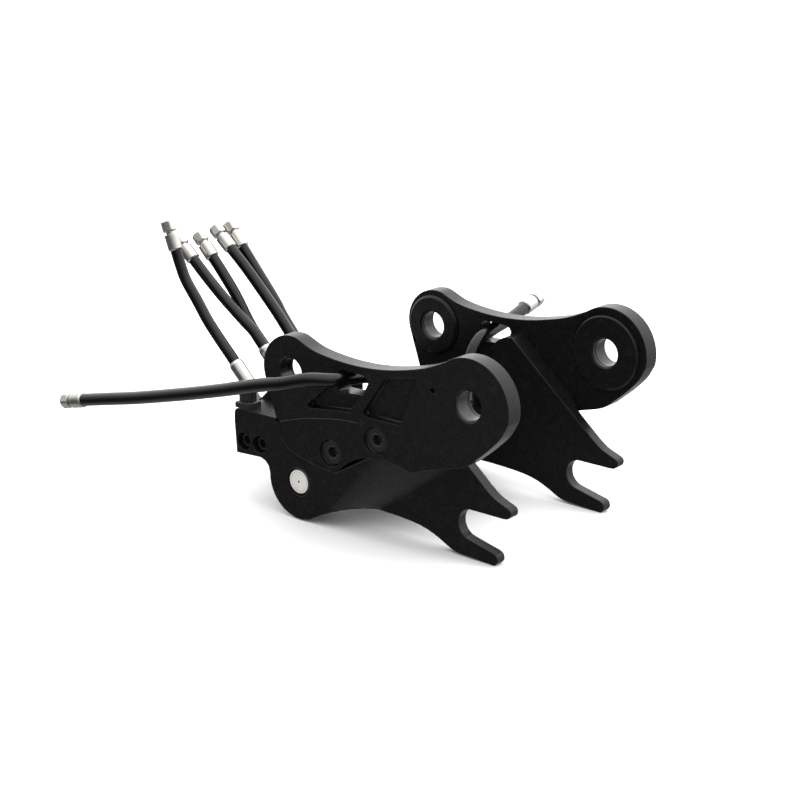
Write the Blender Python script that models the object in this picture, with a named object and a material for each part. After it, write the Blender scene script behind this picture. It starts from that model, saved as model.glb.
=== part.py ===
"""Hydraulic quick coupler with lateral lock pins, for a small excavator.

Two bolt-on ear plates carry the machine's arm pin and link pin. Two side frames end in open hooks that
take the attachment's front pin, and hold the two lock pins that a double-acting cylinder drives sideways
into the attachment. A manifold block on the left side feeds the coupler's hoses.

Side-view coordinates (x forwards, z up, in millimetres) start at the rear ear bore. Y runs across, and
side -1 is the left half, side +1 the right half.
"""
import math

import bmesh
import bpy
from mathutils import Matrix, Vector

MM = 0.001

# ---- driving dimensions, millimetres ----
PIN_D = 45.0                    # arm pin, link pin and lock pins
BORE_REAR = (0.0, 0.0)
BORE_FRONT = (343.6, 15.8)
LOCK_AXIS = (15.3, -174.2)
HOOK_AXIS = (319.0, -184.0)
HOOK_R = 24.0
HALF_WIDTH = 192.7              # outer face of the ear plates and of the lock-pin lobes
EAR_T = 29.0
FRAME_IN = 130.5                # inner face of the side frames
HOOK_OUT = 149.5                # outer face of the hook plates
GAP = 0.3                       # between pieces that touch
FLOOR_Z = -237.7                # finger bottoms
MIDDLE_X = 125.5                # middle of the length from port adapters to front bore lobes

EAR_IN = HALF_WIDTH - EAR_T
BUSH_OD = 56.0                  # steel bushes of the ears, bronze bushes of the lock pins
LIP_R = PIN_D / 2 + 0.3         # plate left round a bore's mouth, in front of the bush
BOSS_REAR = (50.0, 46.0, 6.4)   # radius at the plate, radius at the face, height
BOSS_FRONT = (59.5, 57.5, 8.9)
EAR_SCREWS = ((80.5, -112.7), (169.5, -73.9))
EAR_SCREW_R = 12.0              # M24 countersunk
TAB_SCREWS = ((-101.0, -133.0), (-67.7, -132.0))
TAB_SCREW_R = 8.0               # M16 cap screws, sunk in counterbores
POCKET_DEPTH = 11.0             # lightening pockets in the ears' outer faces
PIN_LOCK_R = 4.2                # blind holes that hold the pins' locking screws
PIN_LOCK_DEPTH = 18.0

CYL_OD = 78.0
CYL_ID = 62.0
CYL_HALF = 84.0
ROD_D = 30.0
HOUSING_R = 50.0
HOUSING_TOP = -92.0
DECK_Z = -112.0                 # top of the shelf that carries the side hoses' fittings

HOSE_D = 18.6                   # five service hoses
SIDE_HOSE_D = 21.0              # two larger hoses through the ear slots
PORT_N = Vector((-1.0, 0.0, 1.0)).normalized()
BLOCK_Y = (-129.9, 52.0)
BLOCK_BACK = -147.0             # rear and bottom of the manifold block
BLOCK_TOP = -64.0
BLOCK_FRONT = -61.0
PORT_LINE = 40.4                # the sloping port face is z = x + PORT_LINE
ADAPTER_L = 29.5
FERRULE_L = 50.0

ROUND = 24


# ---- outlines ----
def arc(centre, radius, start, end, steps):
    """Points on a circle from one angle to another, in degrees."""
    spread = [math.radians(start + (end - start) * k / steps) for k in range(steps + 1)]
    return [(centre[0] + radius * math.cos(a), centre[1] + radius * math.sin(a)) for a in spread]


def smooth(points, steps):
    """A Catmull-Rom curve through points of any dimension, with its end points kept."""
    pts = [Vector(p) for p in points]
    pts = [pts[0] * 2 - pts[1]] + pts + [pts[-1] * 2 - pts[-2]]
    out = []
    for a, b, c, d in zip(pts, pts[1:], pts[2:], pts[3:]):
        for k in range(steps):
            t = k / steps
            out.append((b * 2 + (c - a) * t + (a * 2 - b * 5 + c * 4 - d) * t ** 2
                        + (b * 3 - a - c * 3 + d) * t ** 3) * 0.5)
    return [tuple(p) for p in out] + [tuple(pts[-2])]


def moved(points, dx, dz):
    return [(x + dx, z + dz) for x, z in points]


EAR_TOP = smooth([(13.9, 57.3), (46.5, 44.6), (84, 38.6), (125, 36.2), (165, 37.8),
                  (205, 43.2), (250, 53.5), (278, 63), (302.6, 74.4)], 2)
EAR_FRONT = smooth([(413.5, 0.9), (401, -21), (382.6, -40.6), (360, -60.5), (337.5, -77.2),
                    (300, -88.8), (262, -100.5), (239.8, -109.8)], 2)
EAR_NOTCH = smooth([(239.8, -109.8), (212, -104.2), (184, -100.6), (155, -104), (121.4, -117.5), (92, -141.5)], 2)
EAR_HEEL = smooth([(92, -141.5), (60, -139), (30, -133.3), (2, -125), (-10, -119), (-17, -105), (-22, -85)], 2)
CREASE = smooth([(-60, -93), (-21.5, -82.8), (19.4, -69.9), (60, -61), (104, -54), (150, -52.2),
                 (205, -52.6), (262, -54.4), (300, -61), (328, -76), (345, -92)], 1)


def ear_outline():
    return (arc((2, 1.5), 57, 196, 80, 9) + EAR_TOP[1:-1]
            + arc(BORE_FRONT, 71.5, 125, -12, 11) + EAR_FRONT[1:]
            + EAR_NOTCH[1:] + EAR_HEEL[1:] + [(-31, -79)])


def frame_outline(side):
    """Side frame seen from the side; only the left one has the rear tab for the manifold."""
    tab = [(-117, -155), (-122, -93), (-119.5, -84), (-112, -79.8), (-31, -79.6)]
    plain = [(-47, -120), (-42, -98), (-31, -86)]
    rear = [(-46, -172), (-48.6, -163), (-55.5, -155.5), (-66, -152.2)]
    return ((rear + tab if side < 0 else rear[:2] + plain)
            + smooth([(30, -79.6), (84, -60), (120, -29), (139, -10), (152, 5), (168, 14.5), (183, 17.2)], 2)
            + smooth([(344, -120.4), (361, -132.4), (386, -142.5)], 2)
            + [(390.6, -147), (390.2, -153.5), (384.5, -158.8), (376, -160)]
            + arc(HOOK_AXIS, HOOK_R, 90, 257, 10)
            + [(361.5, -218.5), (367, -222.5), (368.4, -230.5), (363, -237.7), (294, -234.2)]
            + smooth([(281, -230.6), (260, -220.5), (238, -212), (212, -206.6), (172, -203.8), (129, -203),
                      (104, -203.8), (80, -210.8), (60, -219.6), (38.5, -231.5)], 2)
            + arc((15.5, -174.5), 61.5, -68, -177, 9)[1:])


def taper_width(x, z):
    """Outer half-width of a side frame: full at the lock pin, falling in a fan to the thin hook plate."""
    start = 75 + (z + 204) * 0.75
    end = 140 + (z + 204) * 1.49
    t = min(1.0, max(0.0, (x - start) / max(end - start, 20.0)))
    return HALF_WIDTH + 0.6 - (HALF_WIDTH + 0.6 - HOOK_OUT) * t * t * (3 - 2 * t)


# ---- scene, materials, bodies ----
for old in list(bpy.data.objects):
    bpy.data.objects.remove(old, do_unlink=True)


def make_material(name, colour, roughness, metallic):
    mat = bpy.data.materials.new(name)
    mat.use_nodes = True
    shader = mat.node_tree.nodes["Principled BSDF"]
    shader.inputs["Base Color"].default_value = (*colour, 1.0)
    shader.inputs["Roughness"].default_value = roughness
    shader.inputs["Metallic"].default_value = metallic
    return mat


PAINT = make_material("black_paint", (0.012, 0.012, 0.013), 0.25, 0.0)
STEEL = make_material("ground_steel", (0.62, 0.61, 0.58), 0.22, 1.0)
ZINC = make_material("zinc_plated_steel", (0.70, 0.69, 0.66), 0.3, 1.0)
BLACK_OXIDE = make_material("black_oxide_steel", (0.035, 0.035, 0.038), 0.4, 0.9)
RUBBER = make_material("hose_rubber", (0.014, 0.014, 0.015), 0.35, 0.0)
BRONZE = make_material("bush_bronze", (0.45, 0.30, 0.14), 0.35, 1.0)


def make_empty(name, x, y, z, parent=None):
    empty = bpy.data.objects.new(name, None)
    empty.location = (x * MM, y * MM, z * MM)
    empty.parent = parent
    bpy.context.collection.objects.link(empty)
    return empty


DATUM = make_empty("rear_bore_datum", -MIDDLE_X, 0, -FLOOR_Z)


def add_mesh(name, bm, material, parent=DATUM, origin=(0, 0, 0)):
    """Write a bmesh in millimetres as an object whose own origin is given in datum coordinates."""
    bmesh.ops.remove_doubles(bm, verts=bm.verts, dist=0.001)
    bmesh.ops.recalc_face_normals(bm, faces=bm.faces)
    bmesh.ops.transform(bm, matrix=Matrix.Scale(MM, 4) @ Matrix.Translation(-Vector(origin)), verts=bm.verts)
    mesh = bpy.data.meshes.new(name)
    bm.to_mesh(mesh)
    bm.free()
    obj = bpy.data.objects.new(name, mesh)
    obj.parent = parent
    if parent is DATUM:
        obj.location = Vector(origin) * MM
    if material:
        mesh.materials.append(material)
    else:
        obj.hide_render = True
        obj.display_type = "WIRE"
    bpy.context.collection.objects.link(obj)
    return obj


def soften(obj, angle=32):
    obj.data.shade_smooth()
    obj.data.set_sharp_from_angle(angle=math.radians(angle))
    return obj


def prism(name, outline, y0, y1, material=None):
    """A side-view outline extruded across, from y0 to y1."""
    bm = bmesh.new()
    ring = [bm.verts.new((x, y0, z)) for x, z in outline]
    face = bm.faces.new(ring)
    grown = bmesh.ops.extrude_face_region(bm, geom=[face])
    far_ring = [v for v in grown["geom"] if isinstance(v, bmesh.types.BMVert)]
    bmesh.ops.translate(bm, vec=(0, y1 - y0, 0), verts=far_ring)
    return add_mesh(name, bm, material)


def turned(name, start, direction, profile, material=None, segments=ROUND, parent=DATUM, origin=(0, 0, 0),
           turn=0.0):
    """A turned piece: profile is (distance along the axis, radius), closed on the axis at radius 0."""
    bm = bmesh.new()
    axis = Vector(direction).normalized()
    side = axis.orthogonal().normalized()
    up = axis.cross(side)
    rings = []
    for along, radius in profile:
        centre = Vector(start) + axis * along
        if radius == 0:
            rings.append([bm.verts.new(centre)])
            continue
        angles = [turn + 2 * math.pi * k / segments for k in range(segments)]
        rings.append([bm.verts.new(centre + (side * math.cos(a) + up * math.sin(a)) * radius) for a in angles])
    closed = len(rings[0]) > 1
    pairs = list(zip(rings, rings[1:])) + ([(rings[-1], rings[0])] if closed else [])
    for low, high in pairs:
        for k in range(segments):
            n = (k + 1) % segments
            if len(low) == 1:
                bm.faces.new((low[0], high[k], high[n]))
            elif len(high) == 1:
                bm.faces.new((low[k], high[0], low[n]))
            else:
                bm.faces.new((low[k], low[n], high[n], high[k]))
    return add_mesh(name, bm, material, parent, origin)


def cut(obj, cutter):
    mod = obj.modifiers.new(cutter.name, "BOOLEAN")
    mod.operation = "DIFFERENCE"
    mod.object = cutter
    return obj


def join(obj, other):
    cut(obj, other).modifiers[-1].operation = "UNION"


def across(name, point, y0, y1, radius, **options):
    """A plain round bar or cutter along Y."""
    return turned(name, (point[0], y0, point[1]), (0, 1, 0), [(0, 0), (0, radius), (y1 - y0, radius), (y1 - y0, 0)],
                  **options)


def span(side, near, far):
    """Two distances from the middle as y values in rising order, on one side."""
    return sorted((side * near, side * far))


SIDES = ((-1, "left"), (1, "right"))


# ---- ear plates ----
def stepped_bore(name, point, side):
    """Bore of an ear plate: a pin-size lip at the outer face, chamfered, then the seat of the bush."""
    profile = [(-1, 0), (-1, LIP_R + 3.2), (2.2, LIP_R), (4, LIP_R), (4, BUSH_OD / 2), (EAR_T + 1, BUSH_OD / 2),
               (EAR_T + 1, 0)]
    return turned(name, (point[0], side * HALF_WIDTH, point[1]), (0, -side, 0), profile)


def sloped_toe(name, side):
    """Cutter below the crease line: the ear's outer face falls away by toe_drop towards its lower edge."""
    toe_drop, bottom, proud = 2.0, -150.0, 3.0
    bm = bmesh.new()
    rows = []
    for x, z in CREASE:
        near = (x, side * HALF_WIDTH, z)
        rows.append([bm.verts.new(near), bm.verts.new((x, side * (HALF_WIDTH - toe_drop), bottom)),
                     bm.verts.new((x, side * (HALF_WIDTH + proud), bottom)),
                     bm.verts.new((x, side * (HALF_WIDTH + proud), z))])
    for a, b in zip(rows, rows[1:]):
        for k in range(4):
            bm.faces.new((a[k], a[(k + 1) % 4], b[(k + 1) % 4], b[k]))
    bm.faces.new(rows[0])
    bm.faces.new(rows[-1])
    return add_mesh(name, bm, None)


SLOT = (arc((107, 14), 11, 180, 95, 3) + arc((146, 12.5), 11, 90, 0, 3) + [(148.5, -3)]
        + arc((142.5, -2.5), 6, -20, -85, 2) + arc((105, -1), 9, -95, -170, 2))
POCKETS = {
    "pocket_rear": (arc((40, -44.5), 4.5, 260, 140, 3) + [(84, -1.5), (92, -14), (139, -13)]
                    + arc((121, -33.5), 5, 20, -80, 2)),
    "pocket_front": (arc((153, -33), 6.5, 262, 145, 3) + arc((191, 23.5), 4, 145, 100, 1)
                     + arc((243.2, 32.8), 5.5, 105, -22, 3) + arc((216.5, -36.5), 3, -22, -92, 1)),
}


def make_ear(side, word):
    ear = prism(f"ear_plate_{word}", ear_outline(), side * EAR_IN, side * HALF_WIDTH, PAINT)
    cut(ear, stepped_bore(f"cut_rear_bore_{word}", BORE_REAR, side))
    cut(ear, stepped_bore(f"cut_front_bore_{word}", BORE_FRONT, side))
    cut(ear, prism(f"cut_slot_{word}", SLOT, side * (EAR_IN - 2), side * (HALF_WIDTH + 2)))
    for pocket, outline in POCKETS.items():
        cut(ear, prism(f"cut_{pocket}_{word}", outline, side * (HALF_WIDTH - POCKET_DEPTH), side * (HALF_WIDTH + 2)))
    cut(ear, sloped_toe(f"cut_toe_{word}", side))
    for k, point in enumerate(EAR_SCREWS):
        hole = EAR_SCREW_R + 2 * GAP
        sink = [(-2, 0), (-2, 22), (5, 22), (14.4, hole), (EAR_T + 1, hole), (EAR_T + 1, 0)]
        cut(ear, turned(f"cut_ear_screw_{k}_{word}", (point[0], side * HALF_WIDTH, point[1]), (0, -side, 0), sink))
    for place, point, near, far in (("front", (278.5, 26.5), HALF_WIDTH - PIN_LOCK_DEPTH, HALF_WIDTH + 2),
                                    ("rear", (65.5, 15.5), EAR_IN - 2, EAR_IN + PIN_LOCK_DEPTH)):
        cut(ear, across(f"cut_pin_lock_{place}_{word}", point, *span(side, near, far), PIN_LOCK_R, segments=12))
    return soften(ear)


def make_ear_fittings(side, word):
    for place, point, (base_r, face_r, height) in (("rear", BORE_REAR, BOSS_REAR), ("front", BORE_FRONT, BOSS_FRONT)):
        chamfer = base_r - face_r
        start = (point[0], side * (EAR_IN - GAP), point[1])
        face = height - GAP
        ring = [(0, LIP_R), (0, base_r), (face - chamfer, base_r), (face, face_r), (face, LIP_R + 2.5),
                (face - 2.5, LIP_R)]
        soften(turned(f"boss_ring_{place}_{word}", start, (0, -side, 0), ring, PAINT))
        inner, outer = PIN_D / 2, BUSH_OD / 2 - GAP
        bush = [(0, inner), (0, outer), (24.4, outer), (24.4, inner)]
        soften(turned(f"bush_{place}_{word}", (point[0], side * (EAR_IN + 0.2), point[1]), (0, side, 0), bush, STEEL))
    for k, (x, z) in enumerate(EAR_SCREWS):
        screw = [(9, 0), (9, 7.6), (0, 7.6), (0, 21), (1, 21), (10, EAR_SCREW_R), (57.8, EAR_SCREW_R), (57.8, 0)]
        start = (x, side * (HALF_WIDTH - 4), z)
        soften(turned(f"ear_screw_{k + 1}_{word}", start, (0, -side, 0), screw, BLACK_OXIDE, segments=20))


# ---- side frames ----
def pocket_outline():
    """Seat of the ear plate in the side frame: the ear's lower edge with a little room, straight at the notch."""
    room = (-0.25, -0.6)
    notch = [p for p in moved(EAR_NOTCH, *room) if p[0] > 152]
    return (moved(EAR_HEEL, *room)[::-1] + notch[::-1] + moved(EAR_FRONT, *room)[::-1][1:]
            + [(430, 20), (430, 120), (-80, 120), (-80, -78.7), (-31.6, -78.7)])


def taper_cutter(name, side):
    """Everything outside the frame's tapering outer face, as a grid of side-view points."""
    xs = [66 + 22 * k for k in range(16)]
    zs = [-245 + 37.5 * k for k in range(6)]
    bm = bmesh.new()
    inner = [[bm.verts.new((x, side * taper_width(x, z), z)) for z in zs] for x in xs]
    outer = [[bm.verts.new((x, side * (HALF_WIDTH + 9), z)) for z in zs] for x in xs]
    for grid in (inner, outer):
        for a, b in zip(grid, grid[1:]):
            for k in range(len(zs) - 1):
                bm.faces.new((a[k], a[k + 1], b[k + 1], b[k]))
    border = ([row[0] for row in inner], [row[-1] for row in inner], inner[0], inner[-1])
    border_out = ([row[0] for row in outer], [row[-1] for row in outer], outer[0], outer[-1])
    for near, far in zip(border, border_out):
        for k in range(len(near) - 1):
            bm.faces.new((near[k], near[k + 1], far[k + 1], far[k]))
    return add_mesh(name, bm, None)


def make_frame(side, word):
    frame = prism(f"side_frame_{word}", frame_outline(side), side * FRAME_IN, side * HALF_WIDTH, PAINT)
    cut(frame, prism(f"cut_ear_seat_{word}", pocket_outline(), side * (EAR_IN - GAP), side * (HALF_WIDTH + 3)))
    cut(frame, taper_cutter(f"cut_taper_{word}", side))
    bore = [(-2, 0), (-2, LIP_R + 2.6), (0.9, LIP_R), (12, LIP_R), (12, BUSH_OD / 2), (80, BUSH_OD / 2), (80, 0)]
    cut(frame, turned(f"cut_lock_bore_{word}", (LOCK_AXIS[0], side * HALF_WIDTH, LOCK_AXIS[1]), (0, -side, 0), bore))
    for k, point in enumerate(EAR_SCREWS):
        cut(frame, across(f"cut_screw_thread_{k}_{word}", point, *span(side, FRAME_IN - 5, EAR_IN + 5),
                          EAR_SCREW_R + GAP, segments=20))
    if side < 0:
        for k, (x, z) in enumerate(TAB_SCREWS):
            hole = TAB_SCREW_R + 2 * GAP
            deep = [(-2, 0), (-2, 14), (25, 14), (25, hole), (80, hole), (80, 0)]
            cut(frame, turned(f"cut_tab_screw_{k}", (x, -HALF_WIDTH, z), (0, 1, 0), deep, segments=20))
    return soften(frame)


# ---- lock cylinder and pins ----
def make_lock(side, word):
    x, z = LOCK_AXIS
    axis = make_empty(f"lock_slide_{word}", x, side * 142, z, DATUM)
    origin = (x, side * 142, z)
    radius = PIN_D / 2
    pin = [(0, 0), (0, radius - 1.9), (1.9, radius), (100, radius), (102, radius - 2),
           (102, ROD_D / 2 - 4), (92, ROD_D / 2 - 4), (92, 0)]
    soften(turned(f"lock_pin_{word}", (x, side * (HALF_WIDTH - 0.2), z), (0, -side, 0), pin, STEEL,
                  parent=axis, origin=origin))
    inner, outer = radius + 0.15, BUSH_OD / 2 - GAP
    bush = [(0, inner), (0, outer), (49.8, outer), (49.8, inner)]
    soften(turned(f"lock_bush_{word}", (x, side * (FRAME_IN + GAP), z), (0, side, 0), bush, BRONZE))
    rod_end = HALF_WIDTH - 0.2 - 92 - GAP
    piston_face, piston_len = 6.0, 22.0
    rod = [(0, 0), (0, CYL_ID / 2 - 0.5), (piston_len, CYL_ID / 2 - 0.5), (piston_len, ROD_D / 2),
           (rod_end - piston_face - 10, ROD_D / 2), (rod_end - piston_face - 10, ROD_D / 2 - 4 - GAP),
           (rod_end - piston_face, ROD_D / 2 - 4 - GAP), (rod_end - piston_face, 0)]
    soften(turned(f"piston_rod_{word}", (x, side * piston_face, z), (0, side, 0), rod, STEEL,
                  parent=axis, origin=origin))
    head = [(0, ROD_D / 2 + GAP), (0, CYL_ID / 2 - GAP), (14, CYL_ID / 2 - GAP), (14, ROD_D / 2 + GAP)]
    soften(turned(f"cylinder_head_{word}", (x, side * (CYL_HALF - 14), z), (0, side, 0), head, ZINC))


def make_centre():
    x, z = LOCK_AXIS
    half = FRAME_IN - GAP
    deck = [(x + HOUSING_R, DECK_Z - 12), (190, DECK_Z - 12), (190, DECK_Z - 4), (186, DECK_Z),
            (x + HOUSING_R, DECK_Z)]
    outline = (arc(LOCK_AXIS, HOUSING_R, 180, 360, 18) + deck
               + arc((x + HOUSING_R - 12, HOUSING_TOP - 12), 12, 0, 90, 4)
               + arc((x - HOUSING_R + 12, HOUSING_TOP - 12), 12, 90, 180, 4))
    housing = prism("cross_housing", outline, -half, half, PAINT)
    cut(housing, across("cut_cylinder_bore", LOCK_AXIS, -half - 5, half + 5, CYL_OD / 2 + GAP))
    soften(housing)
    barrel = [(0, CYL_ID / 2), (0, CYL_OD / 2), (2 * CYL_HALF, CYL_OD / 2), (2 * CYL_HALF, CYL_ID / 2)]
    soften(turned("cylinder_barrel", (x, -CYL_HALF, z), (0, 1, 0), barrel, ZINC))


# ---- manifold block and hoses ----
def make_manifold():
    outline = [(BLOCK_BACK, BLOCK_BACK), (BLOCK_BACK, BLOCK_BACK + PORT_LINE), (BLOCK_TOP - PORT_LINE, BLOCK_TOP),
               (BLOCK_FRONT, BLOCK_TOP), (BLOCK_FRONT, BLOCK_BACK)]
    block = prism("manifold_block", outline, BLOCK_Y[0], BLOCK_Y[1], BLACK_OXIDE)
    for k, (x, z) in enumerate(TAB_SCREWS):
        cut(block, across(f"cut_block_thread_{k}", (x, z), BLOCK_Y[0] - 2, BLOCK_Y[0] + 32, TAB_SCREW_R + 2 * GAP,
                          segments=16))
        screw = [(10, 0), (10, 7.2), (0, 7.2), (0, 12), (16, 12), (16, TAB_SCREW_R), (74, TAB_SCREW_R), (74, 0)]
        soften(turned(f"tab_screw_{k + 1}", (x, -HALF_WIDTH + 8.6, z), (0, 1, 0), screw, BLACK_OXIDE, segments=16))
    tab_top, valve_x, valve_y = -79.6, -104.0, -177.5
    stem = [(7, 0), (7, 13.8), (32, 13.8), (34, 12), (34, 0)]
    valve = turned("check_valve", (valve_x, valve_y, tab_top + GAP), (0, 0, 1), stem, BLACK_OXIDE, segments=24)
    foot = [(0, 0), (0, 21.2), (8, 21.2), (8, 0)]
    join(valve, turned("valve_foot", (valve_x, valve_y, tab_top + GAP), (0, 0, 1), foot, segments=4))
    soften(valve)
    for k, y in enumerate((-70.0, -20.0)):
        reach = LOCK_AXIS[0] - HOUSING_R - BLOCK_FRONT - 2 * GAP
        pipe = [(0, 0), (0, 6), (reach, 6), (reach, 0)]
        soften(turned(f"feed_pipe_{k + 1}", (BLOCK_FRONT + GAP, y, -120), (1, 0, 0), pipe, ZINC, segments=16))


def hex_fitting(name, start, direction, across_flats, length, bore_step):
    """A hexagon with its corners turned off at both ends, and a collar where it meets the next piece."""
    corner = across_flats / math.sqrt(3)
    profile = [(0, 0), (0, corner), (length - 3, corner), (length - 3, bore_step), (length, bore_step), (length, 0)]
    return turned(name, start, direction, profile, ZINC, segments=6)


def ferrule(name, start, direction, radius, length, hose_radius):
    """Crimped ferrule: a collar at the nut, a long sleeve, and a rolled mouth at the hose."""
    collar = hose_radius * 0.82
    profile = [(0, 0), (0, collar), (7, collar), (7, radius), (length - 4, radius), (length, hose_radius),
               (length, 0)]
    return soften(turned(name, start, direction, profile, ZINC, segments=16))


def even_point(fine, runs, target):
    """The point of a fine polyline at a given distance along it."""
    place = max(k for k in range(len(runs) - 1) if runs[k] <= target)
    share = (target - runs[place]) / (runs[place + 1] - runs[place])
    return fine[place].lerp(fine[place + 1], min(1.0, share))


def hose(name, route, diameter, count):
    """A free hose: a tube through evenly spaced points of the smooth curve on its route, square at its ends."""
    fine = [Vector(p) for p in smooth(route, 12)]
    runs = [0.0]
    for a, b in zip(fine, fine[1:]):
        runs.append(runs[-1] + (b - a).length)
    curve = bpy.data.curves.new(name, "CURVE")
    curve.dimensions = "3D"
    curve.bevel_depth = diameter / 2 * MM
    curve.bevel_resolution = 2
    curve.use_fill_caps = True
    spline = curve.splines.new("POLY")
    points = [even_point(fine, runs, runs[-1] * k / (count - 1)) for k in range(count)]
    stub = 5.0
    points.insert(1, fine[0] + (Vector(route[1]) - Vector(route[0])).normalized() * stub)
    points.insert(-1, fine[-1] + (Vector(route[-2]) - Vector(route[-1])).normalized() * stub)
    spline.points.add(len(points) - 1)
    for slot, point in zip(spline.points, points):
        slot.co = (*(point * MM), 1.0)
    obj = bpy.data.objects.new(name, curve)
    obj.parent = DATUM
    curve.materials.append(RUBBER)
    bpy.context.collection.objects.link(obj)
    return obj


# name, y, place of the port along the sloping face (x), bends of the hose after its ferrule (x, y, z)
SERVICE_HOSES = (
    ("1", -116, -134.2, [(-226, -116, -3), (-250, -117, 23.5), (-273, -117, 53), (-296, -118, 83), (-308, -118, 107),
                         (-317, -118, 130)]),
    ("2", -66, -116.2, [(-216, -65, 6), (-264, -63, 42), (-306, -62, 77), (-333, -62, 101)]),
    ("3", -34, -136.2, [(-234, -33, 1), (-268, -31, 45), (-300, -30, 80), (-320, -30, 101)]),
    ("4", 4, -116.2, [(-204, 4, 14), (-226, 4, 36), (-274, 5, 80), (-311, 5, 111)]),
    ("5", 32, -130.0, [(-221, 32, 5), (-239, 32, 29), (-279, 32, 74), (-310, 32, 109)]),
)


def end_fitting(name, route, diameter):
    """Ferrule and swivel nut that close a hose's free end, in line with its last stretch."""
    last, before = Vector(route[-1]), Vector(route[-2])
    tangent = (last - before).normalized()
    start = last + tangent * GAP
    radius = diameter / 2 + 2.4
    profile = [(0, 0), (0, diameter / 2), (3, radius), (27, radius), (27, diameter * 0.41), (32, diameter * 0.41),
               (32, radius + 0.6), (50, radius + 0.6), (50, 0)]
    return soften(turned(name, start, tangent, profile, ZINC, segments=16))


def make_service_hoses():
    for word, y, port_x, bends in SERVICE_HOSES:
        port = Vector((port_x, y, port_x + PORT_LINE))
        hex_fitting(f"port_adapter_{word}", port + PORT_N * GAP, PORT_N, 24, ADAPTER_L, 7.5)
        start = port + PORT_N * (ADAPTER_L + 2 * GAP)
        ferrule(f"ferrule_{word}", start, PORT_N, 12.0, FERRULE_L, HOSE_D / 2)
        mouth = start + PORT_N * (FERRULE_L + GAP)
        route = [tuple(mouth), tuple(mouth + PORT_N * 14)] + bends
        hose(f"service_hose_{word}", route, HOSE_D, 8)
        end_fitting(f"hose_end_{word}", route, HOSE_D)


SIDE_HOSES = {
    "left": [(118, -101, -68), (118, -101, -54), (117, -112, -22), (115, -136, 2), (112, -178, 10), (104, -214, 14),
             (82, -243, 17), (45, -256, 7), (0, -260, -4), (-81, -260, -28), (-170, -258, -53), (-275, -256, -80.5),
             (-350, -255, -98), (-405, -254, -111)],
    "right": [(118, 101, -68), (118, 101, -54), (117, 112, -22), (115, 136, 2), (113, 178, 10), (111, 225, 16),
              (107, 268, 24)],
}


def make_side_hoses():
    for word, route in SIDE_HOSES.items():
        x, y, z = route[0]
        length = z - DECK_Z - 2 * GAP
        body = [(0, 0), (0, 14), (15, 14), (15, 9), (19, 9), (19, 13.4), (length - 4, 13.4),
                (length, SIDE_HOSE_D / 2), (length, 0)]
        soften(turned(f"deck_fitting_{word}", (x, y, DECK_Z + GAP), (0, 0, 1), body, ZINC, segments=16))
        hose(f"side_hose_{word}", route, SIDE_HOSE_D, 17 if word == "left" else 8)
        end_fitting(f"side_hose_end_{word}", route, SIDE_HOSE_D)


for side_sign, side_word in SIDES:
    make_ear(side_sign, side_word)
    make_ear_fittings(side_sign, side_word)
    make_frame(side_sign, side_word)
    make_lock(side_sign, side_word)
make_centre()
make_manifold()
make_service_hoses()
make_side_hoses()
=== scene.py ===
"""Hydraulic quick coupler with side-driven lock pins: the finished look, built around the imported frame.

Side-view coordinates are millimetres from the rear ear bore: x towards the hooks, w outwards from the
coupler's middle plane, z up. The left half has y = -w and the right half y = +w.
"""

import math

import bpy
import numpy as np
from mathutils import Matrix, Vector
from mathutils.geometry import delaunay_2d_cdt


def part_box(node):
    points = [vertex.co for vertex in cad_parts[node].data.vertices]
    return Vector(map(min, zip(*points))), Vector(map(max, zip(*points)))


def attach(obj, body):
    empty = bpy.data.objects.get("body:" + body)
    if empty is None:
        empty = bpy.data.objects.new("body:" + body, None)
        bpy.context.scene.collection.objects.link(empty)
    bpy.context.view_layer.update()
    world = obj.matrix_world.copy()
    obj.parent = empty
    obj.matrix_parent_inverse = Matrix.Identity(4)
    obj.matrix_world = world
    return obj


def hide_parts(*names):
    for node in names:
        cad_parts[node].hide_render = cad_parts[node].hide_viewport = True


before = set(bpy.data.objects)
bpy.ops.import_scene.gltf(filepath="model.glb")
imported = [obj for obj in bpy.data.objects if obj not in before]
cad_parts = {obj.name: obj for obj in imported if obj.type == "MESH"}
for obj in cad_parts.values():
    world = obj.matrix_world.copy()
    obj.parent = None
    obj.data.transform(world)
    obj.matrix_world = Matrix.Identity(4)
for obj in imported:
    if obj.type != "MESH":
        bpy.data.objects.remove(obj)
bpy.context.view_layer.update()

# ======== camera ========
# A long lens from the front left, a little above the coupler. Everything is placed from the rear ear bore,
# which is where the frame's rear bush stands.
MM = 0.001
bush_low, bush_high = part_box("bush_rear_left")
BORE = np.array([(bush_low[0] + bush_high[0]) / 2, 0.0, (bush_low[2] + bush_high[2]) / 2])


def at(points):
    """Metres in the row frame from millimetres counted from the rear ear bore."""
    return BORE + np.asarray(points, float) * MM


YAW, PITCH = math.radians(39.41), math.radians(17.80)
lens = bpy.data.cameras.new("camera")
lens.sensor_width = 36.0
lens.lens = 86.85
lens.clip_end = 50.0
camera = bpy.data.objects.new("camera", lens)
camera.location = at((1923.0, -2266.6, 862.4))
camera.rotation_euler = (math.pi / 2 - PITCH, 0.0, YAW)
bpy.context.collection.objects.link(camera)
bpy.context.scene.camera = camera

# ======== service hoses ========
# Five 3/8 in rubber hoses rise from the port block towards the machine's arm, and two 1/2 in hoses leave
# through the slots of the ears. Smooth extruded covers, shiny from new.
HOSE_D, SIDE_HOSE_D = 18.6, 21.0
PORT_SLOPE = 40.4                   # the port face is z = x + PORT_SLOPE
PORT_N = np.array([-1.0, 0.0, 1.0]) / math.sqrt(2)
ADAPTER_L, FERRULE_L, GAP = 29.5, 50.0, 0.3


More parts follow.
